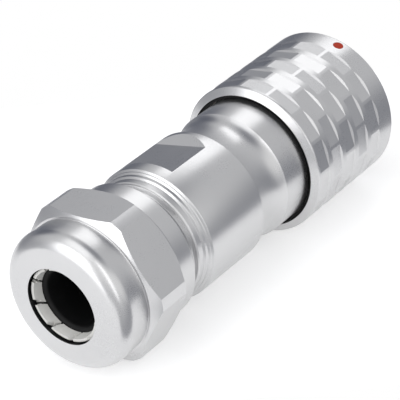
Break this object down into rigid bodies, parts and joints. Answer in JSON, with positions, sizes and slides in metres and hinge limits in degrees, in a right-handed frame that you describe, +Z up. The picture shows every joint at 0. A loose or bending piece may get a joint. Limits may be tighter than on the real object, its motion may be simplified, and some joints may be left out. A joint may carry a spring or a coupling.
{
  "type": "push pull circular connector",
  "caption": "Straight cable-mounted push pull plug with knurled sliding sleeve, waisted body, wrench flats, hexagonal clamping nut and pin contacts in a keyed nose",
  "frame": {"origin": "on the plug's axis, in the front face of the nose", "axes": "+X along the axis towards the mating end, +Z up with the nut's hexagon lying on a flat, +Y to the left seen from the cable end"},
  "size_m": [0.07, 0.0266, 0.026],
  "materials": {
    "satin_chrome": "satin chrome plate on turned metal",
    "nickel_plate": "nickel plate on turned metal",
    "spring_bronze": "nickel plate on spring bronze",
    "spring_steel": "drawn stainless spring steel",
    "gold_plate": "gold plate on turned contacts",
    "insulator_plastic": "moulded high-temperature plastic",
    "grey_plastic": "moulded light grey plastic",
    "black_rubber": "matt black moulded rubber",
    "red_enamel": "red enamel fill"
  },
  "bodies": {
    "plug_core": {"plug_body": "satin_chrome", "backshell": "satin_chrome", "backshell_o_ring": "black_rubber", "shield_cone": "nickel_plate", "insert_carrier": "nickel_plate", "rear_insulator": "insulator_plastic", "front_insulator": "insulator_plastic", "contact_pins": "gold_plate", "latch_collet": "spring_bronze", "stop_ring": "spring_steel", "return_spring": "spring_steel"},
    "grip_sleeve": {"coupling_sleeve": "satin_chrome", "key_sleeve": "satin_chrome", "wiper_ring": "black_rubber", "interface_seal": "black_rubber", "index_dot": "red_enamel"},
    "clamp_insert": {"clamp_cage": "grey_plastic", "cable_seal": "black_rubber", "seal_washer": "nickel_plate"},
    "clamping_nut": {"gland_nut": "satin_chrome"}
  },
  "joints": [
    {"name": "sleeve_slide", "type": "slide", "parent": "plug_core", "child": "grip_sleeve", "axis": [-1, 0, 0], "range_m": [0, 0.002], "stiffness_N_per_m": 2000, "springref_m": -0.0015, "deforming": ["return_spring"]},
    {"name": "nut_advance", "type": "slide", "parent": "plug_core", "child": "clamp_insert", "axis": [-1, 0, 0], "range_m": [0, 0.008]},
    {"name": "nut_turn", "type": "hinge", "parent": "clamp_insert", "child": "clamping_nut", "pos_m": [-0.06, 0, 0], "axis": [-1, 0, 0], "range_deg": [0, 2880]}
  ],
  "couplings": [
    {"joint": "nut_advance", "follows": "nut_turn", "m_per_rad": 0.00015915}
  ]
}
